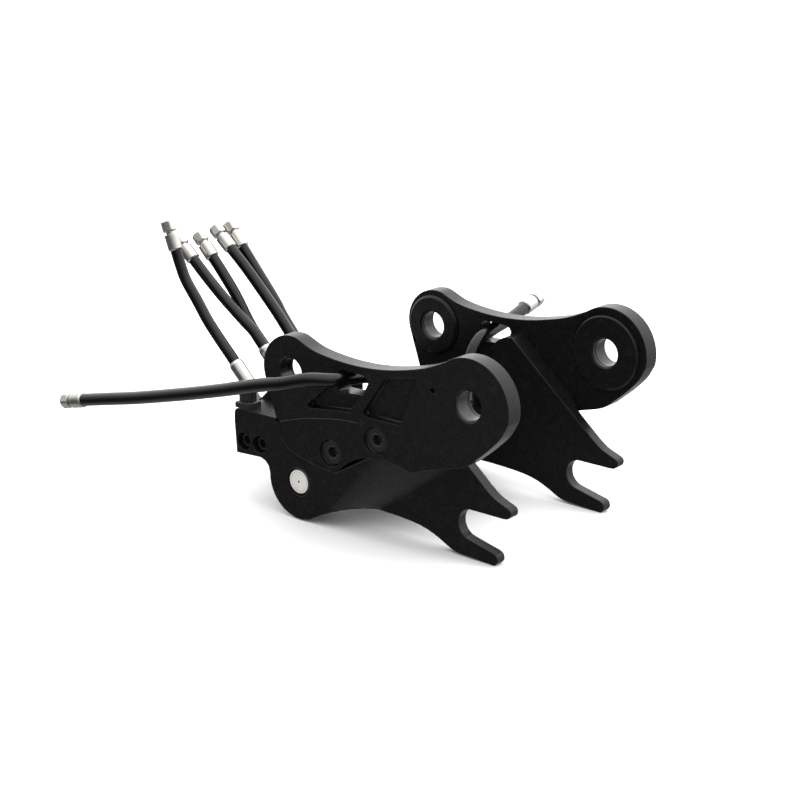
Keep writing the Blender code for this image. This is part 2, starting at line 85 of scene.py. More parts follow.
def curve_through(points, steps):
    """Catmull-Rom curve: every span blends its four neighbouring points with cubic weights in t."""
    p = np.asarray(points, float)
    p = np.vstack([2 * p[0] - p[1], p, 2 * p[-1] - p[-2]])
    t = np.linspace(0, 1, steps, endpoint=False)[None, :, None]
    a, b, c, d = (p[k:len(p) - 3 + k, None, :] for k in range(4))
    square, cube = 2 * a - 5 * b + 4 * c - d, 3 * b - a - 3 * c + d
    spans = (2 * b + (c - a) * t + square * t ** 2 + cube * t ** 3) / 2
    return np.vstack([spans.reshape(-1, p.shape[1]), p[-2]])


def map_range(nodes, low, high, to_low=0.0, to_high=1.0, interpolation="LINEAR"):
    """A Map Range node that takes low..high to to_low..to_high."""
    node = nodes.new("ShaderNodeMapRange")
    node.interpolation_type = interpolation
    node.inputs["From Min"].default_value = low
    node.inputs["From Max"].default_value = high
    node.inputs["To Min"].default_value = to_low
    node.inputs["To Max"].default_value = to_high
    return node


def finish_material(name, base, worn, roughness, spread, metallic, grain, bump, wear=(0.62, 0.72),
                    specular=0.5):
    """Procedural finish: colour runs from base to worn where a broad noise is high, roughness follows a
    middle noise between roughness and roughness + spread, and a fine noise lifts the surface by bump."""
    material = bpy.data.materials.new(name)
    material.use_nodes = True
    nodes, links = material.node_tree.nodes, material.node_tree.links
    shader = nodes["Principled BSDF"]
    shader.inputs["Metallic"].default_value = metallic
    shader.inputs["Specular IOR Level"].default_value = specular
    place = nodes.new("ShaderNodeTexCoord").outputs["Object"]

    def noise(scale, detail):
        node = nodes.new("ShaderNodeTexNoise")
        node.inputs["Scale"].default_value = scale
        node.inputs["Detail"].default_value = detail
        links.new(place, node.inputs["Vector"])
        return node.outputs["Fac"]

    ramp = nodes.new("ShaderNodeValToRGB")
    ramp.color_ramp.elements[0].position, ramp.color_ramp.elements[1].position = wear
    ramp.color_ramp.elements[0].color = (*base, 1.0)
    ramp.color_ramp.elements[1].color = (*worn, 1.0)
    links.new(noise(grain / 18, 6.0), ramp.inputs["Fac"])
    links.new(ramp.outputs["Color"], shader.inputs["Base Color"])
    spread_node = map_range(nodes, 0.35, 0.65, roughness, roughness + spread)
    links.new(noise(grain / 6, 4.0), spread_node.inputs["Value"])
    links.new(spread_node.outputs["Result"], shader.inputs["Roughness"])
    lift = nodes.new("ShaderNodeBump")
    lift.inputs["Strength"].default_value = 0.5
    lift.inputs["Distance"].default_value = bump
    links.new(noise(grain, 3.0), lift.inputs["Height"])
    links.new(lift.outputs["Normal"], shader.inputs["Normal"])
    return material


RUBBER = finish_material("hose_rubber", (0.0012, 0.0012, 0.0014), (0.003, 0.003, 0.0033), roughness=0.13,
                         spread=0.08, metallic=0.0, grain=900.0, bump=0.00002, specular=0.33)
ZINC = finish_material("zinc_plate", (0.52, 0.51, 0.48), (0.46, 0.45, 0.42), roughness=0.2, spread=0.14,
                       metallic=1.0, grain=700.0, bump=0.00006, wear=(0.45, 0.8))


def free_hose(name, route, diameter):
    """A round tube along the smooth curve through the route, closed at both ends."""
    path = at(curve_through(route, 8))
    curve = bpy.data.curves.new(name, "CURVE")
    curve.dimensions = "3D"
    curve.bevel_depth = diameter / 2 * MM
    curve.bevel_resolution = 8
    curve.use_fill_caps = True
    spline = curve.splines.new("POLY")
    spline.points.add(len(path) - 1)
    spline.points.foreach_set("co", np.hstack([path, np.ones((len(path), 1))]).ravel())
    spline.use_smooth = True
    curve.materials.append(RUBBER)
    tube = bpy.data.objects.new(f"{name}_cover", curve)
    bpy.context.collection.objects.link(tube)
    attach(tube, "coupler")
    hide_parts(name)
    return tube, path


SHARP = math.radians(35)            # edges with a sharper turn than this are shaded sharp


def new_piece(name, points, faces, material, body, nodes):
    """A closed mesh in side-view millimetres, turned outwards, smooth but for its sharp edges."""
    mesh = bpy.data.meshes.new(name)
    mesh.from_pydata(at(points).tolist(), [], faces)
    mesh.update()
    mesh.calc_loop_triangles()
    corner = np.empty(len(mesh.loop_triangles) * 3, np.int32)
    mesh.loop_triangles.foreach_get("vertices", corner)
    a, b, c = at(points)[corner.reshape(-1, 3)].transpose(1, 0, 2)
    if np.einsum("ij,ij->i", a, np.cross(b, c)).sum() < 0:
        mesh.flip_normals()
    mesh.shade_smooth()
    mesh.set_sharp_from_angle(angle=SHARP)
    mesh.materials.append(material)
    piece = bpy.data.objects.new(name, mesh)
    bpy.context.collection.objects.link(piece)
    weighted = piece.modifiers.new("even_faces", "WEIGHTED_NORMAL")
    weighted.keep_sharp = True
    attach(piece, body)
    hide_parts(*nodes)
    return piece


def rounded(points, radius, steps=3, closed=False):
    """Corner rounding: each corner becomes a quadratic curve that starts and ends a radius away from it."""
    p = np.asarray(points, float)
    before, after = np.roll(p, 1, 0), np.roll(p, -1, 0)
    reach_in, reach_out = (np.linalg.norm(q - p, axis=1, keepdims=True) for q in (before, after))
    start = p + (before - p) * np.minimum(radius / np.maximum(reach_in, 1e-9), 0.48)
    end = p + (after - p) * np.minimum(radius / np.maximum(reach_out, 1e-9), 0.48)
    t = np.linspace(0, 1, steps + 1)[None, :, None]
    bends = start[:, None] * (1 - t) ** 2 + p[:, None] * 2 * t * (1 - t) + end[:, None] * t ** 2
    if closed:
        return bends.reshape(-1, p.shape[1])
    return np.vstack([p[0], bends[1:-1].reshape(-1, p.shape[1]), p[-1]])


def strip(first, second, closed=True):
    """Quads between two rows of vertex numbers."""
    first, second = np.asarray(first), np.asarray(second)
    n = len(first) if closed else len(first) - 1
    k = np.arange(n)
    nxt = (k + 1) % len(first)
    return np.stack([first[k], first[nxt], second[nxt], second[k]], 1).tolist()


def turned(name, start, direction, profile, material, body, nodes, sides=64, ring=False,
           outline=None, soften=0.5):
    """Surface of revolution: the profile of (distance along the axis, radius) is carried round the axis, and
    outline(angle, along, radius) may reshape the radius. A ring's profile closes on itself; any other ends
    in a point on the axis at both ends."""
    profile = rounded(profile, soften, closed=ring)
    axis = np.asarray(direction, float) / np.linalg.norm(direction)
    side = np.cross(axis, (0.0, 1.0, 0.0) if abs(axis[1]) < 0.9 else (1.0, 0.0, 0.0))
    side /= np.linalg.norm(side)
    up = np.cross(axis, side)
    angle = np.linspace(0, 2 * math.pi, sides, endpoint=False)
    body_rows = profile if ring else profile[1:-1]
    along, radius = body_rows[:, :1], np.repeat(body_rows[:, 1:], sides, 1)
    if outline:
        radius = outline(angle[None, :], along, radius)
    spoke = np.cos(angle)[:, None] * side + np.sin(angle)[:, None] * up
    grid = np.asarray(start, float) + along[:, :, None] * axis + radius[:, :, None] * spoke[None]
    rows = np.arange(grid.shape[0] * sides).reshape(-1, sides)
    faces = []
    for low_row, high_row in zip(rows, rows[1:]):
        faces += strip(low_row, high_row)
    points = grid.reshape(-1, 3)
    if ring:
        faces += strip(rows[-1], rows[0])
    else:
        ends = np.asarray(start, float) + profile[[0, -1], :1] * axis
        points = np.vstack([points, ends])
        count = rows.size
        k = np.arange(sides)
        faces += np.stack([rows[0][(k + 1) % sides], rows[0], np.full(sides, count)], 1).tolist()
        faces += np.stack([rows[-1], rows[-1][(k + 1) % sides], np.full(sides, count + 1)], 1).tolist()
    return new_piece(name, points, faces, material, body, nodes)


CRIMP_FLATS, CRIMP_DEPTH = 8, 0.035         # the depth is a share of the ferrule's radius


def crimped(length):
    """Shallow flats pressed round a ferrule between its collar and its mouth."""
    def shape(angle, along, radius):
        pressed = ((along > 9) & (along < length - 7)) * CRIMP_DEPTH
        return radius * (1 - pressed * (0.5 + 0.5 * np.cos(CRIMP_FLATS * angle)))
    return shape


def hexagon_wall(flats, angle):
    """Distance from the axis to a hexagon of that width across its flats."""
    return flats / 2 / np.cos((angle + math.pi / 6) % (math.pi / 3) - math.pi / 6)


def hexagon(flats, start, end):
    """Between start and end the turned radius is held inside a hexagon."""
    def shape(angle, along, radius):
        held = (along >= start) & (along <= end)
        return np.where(held, np.minimum(radius, hexagon_wall(flats, angle)), radius)
    return shape


def end_fitting(name, route, diameter):
    """Ferrule, neck and swivel nut that close a hose's free end."""
    last, before = np.array(route[-1], float), np.array(route[-2], float)
    tangent = (last - before) / np.linalg.norm(last - before)
    r = diameter / 2 + 2.4
    neck, nut_r = diameter * 0.41, r + 0.6
    profile = [(0, 0), (0, diameter / 2 + 0.3), (2, r), (27, r), (27, neck), (31.5, neck), (32, r - 1.2),
               (34, nut_r), (48, nut_r), (50, r - 1.2), (50, neck - 1), (44, neck - 2), (44, 0)]
    flats = 2 * nut_r * 0.9

    def shape(angle, along, radius):
        nut = hexagon(flats, 31.8, 50.1)(angle, along, radius)
        return np.where(along < 27.5, crimped(30)(angle, along, radius), nut)
    return turned(f"{name}_fitting", last + tangent * GAP, tangent, profile, ZINC,
                  "coupler", [name], sides=48, outline=shape)


# number, y of the port, x of the port on the sloping face, then the bends of the hose after its ferrule
SERVICE_HOSES = (
    (1, -116, -134.2, [(-226, -116, -3), (-250, -117, 23.5), (-273, -117, 53), (-296, -118, 83),
                       (-308, -118, 107), (-317, -118, 130)]),
    (2, -66, -116.2, [(-197, -65, 3.5), (-214, -65, 14.5), (-240, -64, 31), (-270, -63, 51),
                      (-306, -62, 78), (-333, -62, 101)]),
    (3, -34, -136.2, [(-234, -33, 1), (-268, -31, 45), (-300, -30, 80), (-320, -30, 101)]),
    (4, 4, -116.2, [(-204, 4, 14), (-226, 4, 36), (-274, 5, 80), (-311, 5, 111)]),
    (5, 32, -130.0, [(-221, 32, 5), (-239, 32, 29), (-279, 32, 74), (-310, 32, 109)]),
)
for number, port_y, port_x, bends in SERVICE_HOSES:
    port = np.array([port_x, port_y, port_x + PORT_SLOPE])
    nut = [(0, 0), (0, 9.5), (1.5, 9.5), (1.6, 12.6), (3.2, 13.9), (ADAPTER_L - 6, 13.9),
           (ADAPTER_L - 4, 12.4), (ADAPTER_L - 4, 8.2), (ADAPTER_L, 7.5), (ADAPTER_L, 0)]
    turned(f"port_nut_{number}", port + PORT_N * GAP, PORT_N, nut, ZINC, "coupler",
           [f"port_adapter_{number}"], sides=48, outline=hexagon(24.0, 1.55, ADAPTER_L - 3.9))
    root = port + PORT_N * (ADAPTER_L + 2 * GAP)
    sleeve = [(0, 0), (0, 8.0), (5, 8.0), (5.5, 11.4), (9, 12.0), (FERRULE_L - 5, 12.0),
              (FERRULE_L - 1, 10.6), (FERRULE_L, 9.5), (FERRULE_L, 0)]
    ferrule = turned(f"crimped_ferrule_{number}", root, PORT_N, sleeve, ZINC, "coupler",
                     [f"ferrule_{number}"], outline=crimped(FERRULE_L))
    mouth = root + PORT_N * (FERRULE_L + GAP)
    route = [mouth, mouth + PORT_N * 14] + bends
    tube, path = free_hose(f"service_hose_{number}", route, HOSE_D)
    tip = end_fitting(f"hose_end_{number}", route, HOSE_D)

SIDE_ROUTES = {
    "left": [(118, -101, -68), (118, -101, -54), (117, -112, -22), (115, -136, 2), (112, -178, 10),
             (104, -214, 14), (82, -243, 17), (45, -256, 7), (0, -260, -4), (-81, -260, -28),
             (-170, -258, -53), (-275, -256, -80.5), (-350, -255, -98), (-405, -254, -111)],
    "right": [(118, 101, -68), (118, 101, -54), (117, 112, -22), (115, 136, 2), (113, 178, 10),
              (111, 225, 16), (107, 268, 24)],
}
DECK_Z = -112.0                     # top of the housing's shelf
for word, route in SIDE_ROUTES.items():
    foot_x, foot_y, foot_z = route[0]
    tall = foot_z - DECK_Z - 2 * GAP
    stem = [(0, 0), (0, 12.6), (1.4, 14.0), (13.6, 14.0), (15, 12.6), (15, 9), (19, 9), (19.5, 12.4),
            (22, 13.4), (tall - 4, 13.4), (tall, 10.8), (tall, 0)]
    turned(f"deck_nipple_{word}", (foot_x, foot_y, DECK_Z + GAP), (0, 0, 1), stem, ZINC,
           "coupler", [f"deck_fitting_{word}"], outline=hexagon(25.6, 0.5, 15.2))
    tube, path = free_hose(f"side_hose_{word}", route, SIDE_HOSE_D)
    tip = end_fitting(f"side_hose_end_{word}", route, SIDE_HOSE_D)

# ======== ear plates ========
# Two flame-cut and machined steel plates, 29 mm thick, with the arm-pin and link-pin bores, a hose slot and
# two milled pockets. Below a crease the outer face falls away a little. Gloss black powder coat.
HALF_WIDTH, EAR_IN, FRAME_IN, HOOK_OUT = 192.7, 163.7, 130.5, 149.5
LIP_R = 22.8
LINK_BORE = (343.6, 15.8)
CREASE_STEP, BEVEL_DROP = 0.85, 0.95
FACE_FALL, FALL_REACH = 1.0, 90.0   # the outer face falls this much over that distance below the crease
SIDES = ((-1, "left"), (1, "right"))
PAINT = finish_material("black_powder_coat", (0.0058, 0.0058, 0.0063), (0.0095, 0.0095, 0.010),
                        roughness=0.22, spread=0.1, metallic=0.0, grain=1400.0, bump=0.00004,
                        wear=(0.5, 0.75), specular=0.2)


def arc(centre, radius, start, end, steps):
    """Points on a circle from one angle to another, in degrees."""
    angle = np.radians(np.linspace(start, end, steps + 1))
    return np.stack([centre[0] + radius * np.cos(angle), centre[1] + radius * np.sin(angle)], 1)


def circle(centre, radius, count=72):
    return arc(centre, radius, 0, 360, count)[:-1]


def even(loop, step):
    """Extra points on the straight stretches of a closed loop, so that none is longer than a step."""
    after = np.roll(loop, -1, 0)
    counts = np.maximum(1, np.ceil(np.linalg.norm(after - loop, axis=1) / step).astype(int))
    return np.vstack([a + (b - a) * (np.arange(n) / n)[:, None] for a, b, n in zip(loop, after, counts)])


def anticlockwise(loop):
    x, z = loop.T
    area = (x * np.roll(z, -1) - np.roll(x, -1) * z).sum()
    return loop if area > 0 else loop[::-1]


def inset(loop, distance):
    """The loop moved inwards: every point goes along the mean normal of its two sides, mitred."""
    ahead, behind = np.roll(loop, -1, 0) - loop, loop - np.roll(loop, 1, 0)
    ahead, behind = (v / np.maximum(np.linalg.norm(v, axis=1, keepdims=True), 1e-9) for v in (ahead, behind))
    mean = ahead + behind
    mean /= np.maximum(np.linalg.norm(mean, axis=1, keepdims=True), 1e-9)
    normal = np.stack([-mean[:, 1], mean[:, 0]], 1)
    mitre = np.clip((ahead * mean).sum(1, keepdims=True), 0.6, 1.0)
    return loop + normal * distance / mitre


def inside(points, loop):
    """Even-odd test: a point is inside if a ray to the right crosses the loop an odd number of times."""
    x, z = points[:, 0, None], points[:, 1, None]
    (x0, z0), (x1, z1) = loop.T[:, None], np.roll(loop, -1, 0).T[:, None]
    crosses = (z0 > z) != (z1 > z)
    where = x0 + (z - z0) * (x1 - x0) / np.where(z1 == z0, 1e-12, z1 - z0)
    return (crosses & (x < where)).sum(1) % 2 == 1


def sheet_mesh(outer, holes, lines, spacing):
    """Triangles over the area inside outer and outside the holes: a constrained Delaunay net through the
    loops, the given lines, and an even lattice of points between them. The loops' points come first."""
    loops = [outer] + holes
    fixed = [np.asarray(part, float) for part in loops + lines]
    edges, count = [], 0
    for index, part in enumerate(fixed):
        k = np.arange(len(part))
        pairs = np.stack([k, (k + 1) % len(part)], 1) + count
        edges += (pairs if index < len(loops) else pairs[:-1]).tolist()
        count += len(part)
    points = np.vstack(fixed)
    low, high = outer.min(0), outer.max(0)
    gx, gz = np.meshgrid(np.arange(low[0], high[0], spacing), np.arange(low[1], high[1], spacing * 0.87))
    gx[1::2] += spacing / 2
    lattice = np.stack([gx.ravel(), gz.ravel()], 1)
    keep = inside(lattice, outer)
    for hole in holes:
        keep &= ~inside(lattice, hole)
    lattice = lattice[keep]
    clear = np.array([np.min(np.hypot(*(points - p).T)) > spacing * 0.45 for p in lattice], bool)
    points = np.vstack([points, lattice[clear]]) if len(lattice) else points
    net = delaunay_2d_cdt([Vector(p) for p in points.tolist()], edges, [], 0, 1e-6)
    order = np.array([ids[0] if ids else -1 for ids in net[3]])
    extra = np.flatnonzero(order < 0)
    order[extra] = len(points) + np.arange(len(extra))
    points = np.vstack([points, np.array([net[0][k] for k in extra]).reshape(-1, 2)])
    triangles = order[np.array(net[2])]
    centre = points[triangles].mean(1)
    keep = inside(centre, outer)
    for hole in holes:
        keep &= ~inside(centre, hole)
    return points, triangles[keep], centre[keep]


class Plate:
    """Vertices and faces of one plate, gathered part by part, with w outwards."""

    def __init__(self):
        self.points, self.faces = np.empty((0, 3)), []

    def add(self, xz, w):
        start = len(self.points)
        w = np.broadcast_to(w, len(xz))
        self.points = np.vstack([self.points, np.stack([xz[:, 0], w, xz[:, 1]], 1)])
        return start + np.arange(len(xz))

    def rim(self, loop, rows, first, last=None):
        """Rows of (inset, w) carried round a loop, from the vertices `first` to the vertices `last`."""
        previous = first
        for distance, w in rows:
            current = self.add(inset(loop, distance) if distance else loop, w)
            self.faces += strip(previous, current)
            previous = current
        if last is not None:
            self.faces += strip(previous, last)
        return previous

    def floor(self, loop, ids, w):
        """Closes a recess with a flat floor inside the last row of its wall."""
        points, triangles, _ = sheet_mesh(loop, [], [], 40.0)
        more = self.add(points[len(loop):], w)
        self.faces += np.concatenate([ids, more])[triangles].tolist()


def quarter(radius, steps=3):
    """Rows of a rounded edge as (inset, depth): from just off the face to the foot of the rounding."""
    angle = np.linspace(0, math.pi / 2, steps + 1)[1:]
    return [(radius * (1 - math.sin(a)), radius * (1 - math.cos(a))) for a in angle]


def make_plate(name, side, outer, through, recesses, lines, outer_w, inner_w, edge, spacing, nodes,
               split=None):
    """A painted plate of the coupler with rounded edges. outer_w gives the outer face's height over (x, z). A
    through hole is a loop and its chamfer, and a recess a loop with rows of (inset, depth). split = (loop,
    height, line) lowers the face inside a loop, with a wall round it whose upper edge is bevelled."""
    plate = Plate()
    outer = anticlockwise(outer)
    holes = [(outer, 0.0)] + [(anticlockwise(loop)[::-1], chamfer) for loop, chamfer in through]
    sunk = [(anticlockwise(loop)[::-1], rows) for loop, rows in recesses]
    mouths = [inset(loop, max(edge, chamfer + 0.4)) for loop, chamfer in holes[1:]]
    mouths += [inset(loop, edge) for loop, _ in sunk]
    points, triangles, centre = sheet_mesh(inset(outer, edge), mouths, lines, spacing)
    height = outer_w(points[:, 0], points[:, 1])
    if split:
        on_line = np.array([np.min(np.hypot(*(split[2] - point).T)) < 0.05 for point in points])
        height -= BEVEL_DROP * on_line
    border = sum(len(m) for m in mouths) + len(outer)
    lowered = np.zeros(len(points), bool)
    if split:
        lowered[:border] = inside(points[:border], split[0])
        height = np.where(lowered, np.minimum(height, split[1]), height)
    ids = plate.add(points, height)
    if split:
        deep = inside(centre, split[0])
        shared = np.intersect1d(triangles[deep], triangles[~deep])
        only_deep = np.setdiff1d(triangles[deep], shared)
        plate.points[only_deep, 1] = np.minimum(plate.points[only_deep, 1], split[1])
        twin = ids.copy()
        inner_shared = shared[(shared >= border) & (height[shared] > split[1] + 0.01)]
        twin[inner_shared] = plate.add(points[inner_shared], np.minimum(height[inner_shared], split[1]))
        low_sides, high_sides = (np.vstack([part[:, [0, 1]], part[:, [1, 2]], part[:, [2, 0]]])
                                 for part in (triangles[deep], triangles[~deep]))
        upper = {(a, b) for a, b in high_sides.tolist()}
        for a, b in low_sides.tolist():
            if (b, a) in upper:
                quad = [int(v) for v in (ids[a], ids[b], twin[b], twin[a])]
                quad = [v for k, v in enumerate(quad) if v not in quad[:k]]
                if len(quad) > 2:
                    plate.faces.append(quad)
        plate.faces += twin[triangles[deep]].tolist()
        plate.faces += ids[triangles[~deep]].tolist()
    else:
        plate.faces += ids[triangles].tolist()
    base_holes = [inset(loop, edge) for loop, _ in holes[1:]]
    base_points, base_triangles, _ = sheet_mesh(inset(outer, edge), base_holes, [], 60.0)
    base = plate.add(base_points, inner_w)
    plate.faces += base[base_triangles[:, ::-1]].tolist()
    start_top, start_base = 0, 0
    for loop, chamfer in holes:
        n = len(loop)
        face_w = plate.points[ids[start_top:start_top + n], 1]
        bevel = [(chamfer, 0.15), (0, chamfer)] if chamfer else quarter(edge)
        rows = [(d, face_w - depth) for d, depth in bevel]
        rows += [(d, inner_w + depth) for d, depth in quarter(edge)[::-1]]
        plate.rim(loop, rows, ids[start_top:start_top + n], base[start_base:start_base + n])
        start_top += n
        start_base += n
    for loop, rows in sunk:
        n = len(loop)
        face_w = plate.points[ids[start_top:start_top + n], 1]
        rows = [(d, face_w - depth) for d, depth in quarter(edge) + rows]
        last = plate.rim(loop, rows, ids[start_top:start_top + n])
        bottom = plate.points[last][:, [0, 2]]
        plate.floor(bottom[::-1], last[::-1], plate.points[last, 1].mean())
        start_top += n
    if side < 0:
        plate.points[:, 1] *= -1
    return new_piece(name, plate.points, plate.faces, PAINT, "coupler", nodes)


EAR_TOP = curve_through([(13.9, 57.3), (46.5, 44.6), (84, 38.6), (125, 36.2), (165, 37.8), (205, 43.2),
                         (250, 53.5), (278, 63), (302.6, 74.4)], 10)
EAR_FRONT = curve_through([(413.5, 0.9), (401, -21), (382.6, -40.6), (360, -60.5), (337.5, -77.2),
                           (300, -88.8), (262, -100.5), (239.8, -109.8)], 8)
EAR_NOTCH = curve_through([(239.8, -109.8), (212, -104.2), (184, -100.6), (155, -104), (121.4, -117.5),
                           (92, -141.5)], 8)
EAR_HEEL = curve_through([(92, -141.5), (60, -139), (30, -133.3), (2, -125), (-10, -119), (-17, -105),
                          (-22, -85)], 6)
EAR_OUTLINE = even(np.vstack([arc((2, 1.5), 57, 196, 80, 40), EAR_TOP[1:-1],
                              arc(LINK_BORE, 71.5, 125, -12, 56), EAR_FRONT[1:], EAR_NOTCH[1:],
                              EAR_HEEL[1:], [(-31, -79)]]), 6.0)
CREASE = curve_through([(-46, -89.5), (-21.5, -82.8), (19.4, -69.9), (60, -61), (104, -54), (150, -52.2),
                        (205, -52.6), (262, -54.4), (300, -61), (328, -75)], 5)
EAR_SCREWS = ((80.5, -112.7), (169.5, -73.9))
SLOT = np.vstack([arc((107, 14), 11, 180, 95, 8), arc((146, 12.5), 11, 90, 0, 8), [(148.5, -3)],
                  arc((142.5, -2.5), 6, -20, -85, 6), arc((105, -1), 9, -95, -170, 8)])
POCKETS = (np.vstack([arc((40, -44.5), 4.5, 260, 140, 8), [(84, -1.5), (92, -14), (139, -13)],
                      arc((121, -33.5), 5, 20, -80, 8)]),
           np.vstack([arc((153, -33), 6.5, 262, 145, 8), arc((191, 23.5), 4, 145, 100, 5),
                      arc((243.2, 32.8), 5.5, 105, -22, 10), arc((216.5, -36.5), 3, -22, -92, 5)]))


def ear_face(x, z):
    """Height of the ear's outer face. It falls slowly below the crease. At the crease it steps: the upper
    part lies lower towards the rear, and the lower part lies lower towards the front."""
    below = np.interp(x, CREASE[:, 0], CREASE[:, 1]) - z
    step = CREASE_STEP * np.clip((170.0 - x) / 40.0, -1.0, 1.0)
    upper, lower = np.maximum(step, 0.0), np.maximum(-step, 0.0)
    across = (upper - lower) * np.clip(below / CREASE_STEP, 0.0, 1.0)
    return HALF_WIDTH - upper + across - FACE_FALL * np.clip(below / FALL_REACH, 0.0, 1.0)


def off_screw(line):
    """The line's pieces that stay clear of the front ear screw's counterbore."""
    clear = np.hypot(*(line - EAR_SCREWS[1]).T) > 26
    split_at = np.flatnonzero(np.diff(clear.astype(int))) + 1
    parts = zip(np.split(line, split_at), np.split(clear, split_at))
    return [part for part, keep in parts if keep[0] and len(part) > 1]


crease_lines = off_screw(CREASE) + off_screw(CREASE - (0.0, CREASE_STEP))
screw_seat = [(0, 5.4), (-9.4, 15.3), (-9.5, 20.0)]
pocket_wall = [(0, 6.6), (-0.5, 8.6), (-1.4, 10.2), (-2.8, 11.0)]
small_hole = (circle((278.5, 26.5), 4.2, 24), [(0, 16.0), (-1.0, 18.0)])
ear_holes = [(circle((0, 0), LIP_R), 2.2), (circle(LINK_BORE, LIP_R), 2.2), (even(SLOT, 6.0), 0.0)]
ear_recesses = [(circle(point, 22.0), screw_seat) for point in EAR_SCREWS]
ear_recesses += [(even(loop, 6.0), pocket_wall) for loop in POCKETS] + [small_hole]
for side, word in SIDES:
    make_plate(f"ear_{word}", side, EAR_OUTLINE, ear_holes, ear_recesses, crease_lines, ear_face, EAR_IN,
               1.0, 12.0, [f"ear_plate_{word}"])

# ======== boss rings and pin bushes ========
# Raised rings on the ears' inner faces carry the side load of the arm and the link. Hardened steel bushes sit
# in the bores behind the plates' lips, their steel coloured near black as painted shade inside the bores.
# The bushes' near-black steel colour is painted shade in the bores.
BORE_SHADE_STEEL = finish_material("bore_shade_steel", (0.045, 0.045, 0.045), (0.03, 0.029, 0.027), roughness=0.16,
                          spread=0.16, metallic=1.0, grain=600.0, bump=0.00003, wear=(0.5, 0.8))
# name, centre, radius at the foot, radius at the face, height
BOSSES = (("rear", (0, 0), 50.0, 46.0, 6.1), ("front", LINK_BORE, 59.5, 57.5, 8.6))
for side, word in SIDES:
    for place, bore, base_r, face_r, height in BOSSES:
        ring = [(0, LIP_R), (0, base_r), (height - base_r + face_r, base_r), (height, face_r),
                (height, LIP_R + 2.5), (height - 2.5, LIP_R)]
        turned(f"boss_{place}_{word}", (bore[0], side * (EAR_IN - GAP), bore[1]), (0, -side, 0), ring, PAINT,
               "coupler", [f"boss_ring_{place}_{word}"], sides=112, ring=True, soften=0.7)
        bush = [(0, 22.5), (0, 27.7), (24.4, 27.7), (24.4, 22.5)]
        turned(f"pin_bush_{place}_{word}", (bore[0], side * (EAR_IN + 0.2), bore[1]), (0, side, 0), bush,
               BORE_SHADE_STEEL, "coupler", [f"bush_{place}_{word}"], sides=96, ring=True, soften=0.8)

# ======== side frames ========
# Each frame is one thick plate: full width round the lock pin, where it stands flush with the ear, fanning
# in to a thin plate that ends in the open hook. The ear lies in a seat milled into its outer face.
HOOK, HOOK_R = (319.0, -184.0), 24.0
LOCK, LOBE_R = (15.3, -174.2), 61.5
TAB_SCREWS = ((-101.0, -133.0), (-67.7, -132.0))
REAR_EDGE = np.array([(-46, -172), (-48.6, -163), (-55.5, -155.5), (-66, -152.2)], float)
TAB = rounded([(-117, -155), (-121, -100), (-120, -82), (-108, -79.8), (-31, -79.6)], 8.0)
PLAIN_REAR = np.vstack([REAR_EDGE[:2], [(-47, -120), (-42, -98), (-31, -86)]])


def frame_outline(side):
    """The left frame carries the tab for the port block, and the right frame has a plain rear edge."""
    rear = np.vstack([REAR_EDGE, TAB]) if side < 0 else PLAIN_REAR
    top = curve_through([(30, -79.6), (84, -60), (120, -29), (139, -10), (152, 5), (168, 14.5),
                         (183, 17.2)], 6)
    horn = curve_through([(344, -120.4), (361, -132.4), (386, -142.5)], 4)
    tip = rounded([(386, -142.5), (390.8, -146), (390.4, -154), (384.5, -159.2), (376, -160)], 3.0)
    finger = rounded([(361.5, -218.5), (367, -222.0), (368.6, -230.5), (363, -237.7), (294, -234.2)], 3.0)
    belly = curve_through([(294, -234.2), (281, -230.6), (260, -220.5), (238, -212), (212, -206.6),
                           (172, -203.8), (129, -203), (104, -203.8), (80, -210.8), (60, -219.6),
                           (38.5, -231.5)], 6)
    return even(np.vstack([rear, top, horn[:-1], tip, arc(HOOK, HOOK_R, 90, 257, 28), finger[:-1], belly[:-1],
                           arc((15.5, -174.5), LOBE_R, -68, -177, 40)[:-1]]), 5.0)


def frame_face(x, z):
    """Half-width of the frame: full left of one slanting line, thin right of another, an S-curve between."""
    start, end = 75 + (z + 204) * 0.75, 140 + (z + 204) * 1.49
    t = np.clip((x - start) / np.maximum(end - start, 20.0), 0.0, 1.0)
    full = HALF_WIDTH + 0.6
    return np.minimum(HALF_WIDTH, full - (full - HOOK_OUT) * t * t * (3 - 2 * t))


ROOM = np.array([-0.25, -0.6])      # the seat's play round the ear
SEAT_LINE = np.vstack([EAR_HEEL[::-1] + ROOM, (EAR_NOTCH[EAR_NOTCH[:, 0] > 152] + ROOM)[::-1]])
SEAT_LINE = even(SEAT_LINE, 5.0)[:-1]
SEAT_LINE = SEAT_LINE[:np.argmax(SEAT_LINE[:, 0]) + 1]
SEAT = np.vstack([SEAT_LINE, EAR_FRONT[::-1][1:] + ROOM,
                  [(430, 20), (430, 120), (-80, 120), (-80, -78.7), (-31.6, -78.7)]])
cap_seats = [(circle(point, 14.0, 48), [(0, 23.5), (-1.5, 25.0)]) for point in TAB_SCREWS]
for side, word in SIDES:
    outline = frame_outline(side)
    recesses = cap_seats if side < 0 else []
    within = inset(anticlockwise(outline), 2.0)
    step_line, land = SEAT_LINE[inside(SEAT_LINE, within)], inset(SEAT_LINE, -1.0)[1:-1]
    make_plate(f"frame_{word}", side, outline, [(circle(LOCK, LIP_R, 96), 0.8)], recesses,
               [step_line, land[inside(land, within)]], frame_face, FRAME_IN, 1.2, 7.0,
               [f"side_frame_{word}"], split=(SEAT, EAR_IN - GAP, step_line))
